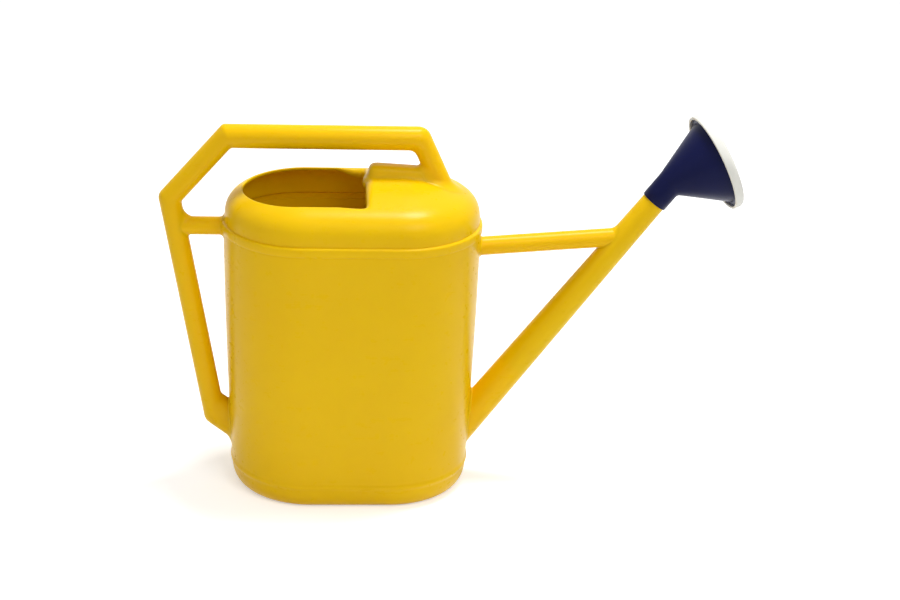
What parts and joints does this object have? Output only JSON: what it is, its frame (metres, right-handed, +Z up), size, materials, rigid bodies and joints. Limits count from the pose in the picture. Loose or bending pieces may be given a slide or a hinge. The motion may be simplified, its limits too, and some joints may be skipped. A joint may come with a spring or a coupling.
{
  "type": "watering can",
  "caption": "Oval-bodied garden watering can with a looped bridge handle, a half-covered filling opening, a braced straight spout and a turnable, perforated rose.",
  "frame": {"origin": "centre of the flat base, on the plane that the can stands on", "axes": "+X towards the spout, +Y to the left of the pouring direction, +Z up; the handle and the spout lie in the plane y = 0, and the rose is turned 20 degrees on the spout"},
  "size_m": [0.5814, 0.1678, 0.3947],
  "materials": {
    "can_plastic": "semi-gloss blow-moulded polyethylene, saturated yellow",
    "rose_plastic": "satin injection-moulded polyethylene, navy blue",
    "plate_plastic": "satin injection-moulded polyethylene, off-white"
  },
  "bodies": {
    "can": {"tank_body": "can_plastic", "tank_shoulder": "can_plastic", "deck_rib": "can_plastic", "handle_grip": "can_plastic", "handle_rear_slope": "can_plastic", "handle_rear_strut": "can_plastic", "handle_foot": "can_plastic", "handle_bridge": "can_plastic", "handle_front_post": "can_plastic", "spout_tube": "can_plastic", "spout_brace": "can_plastic"},
    "rose": {"rose_cone": "rose_plastic"},
    "plate": {"rose_plate": "plate_plastic"}
  },
  "joints": [
    {"name": "rose_turn", "type": "hinge", "parent": "can", "child": "rose", "pos_m": [0.30285, 0, 0.30791], "axis": [0.5948, 0, 0.8039], "continuous": true},
    {"name": "rose_plate_pull", "type": "slide", "parent": "rose", "child": "plate", "axis": [0.8989, 0.1762, 0.4012], "range_m": [0, 0.04]}
  ]
}
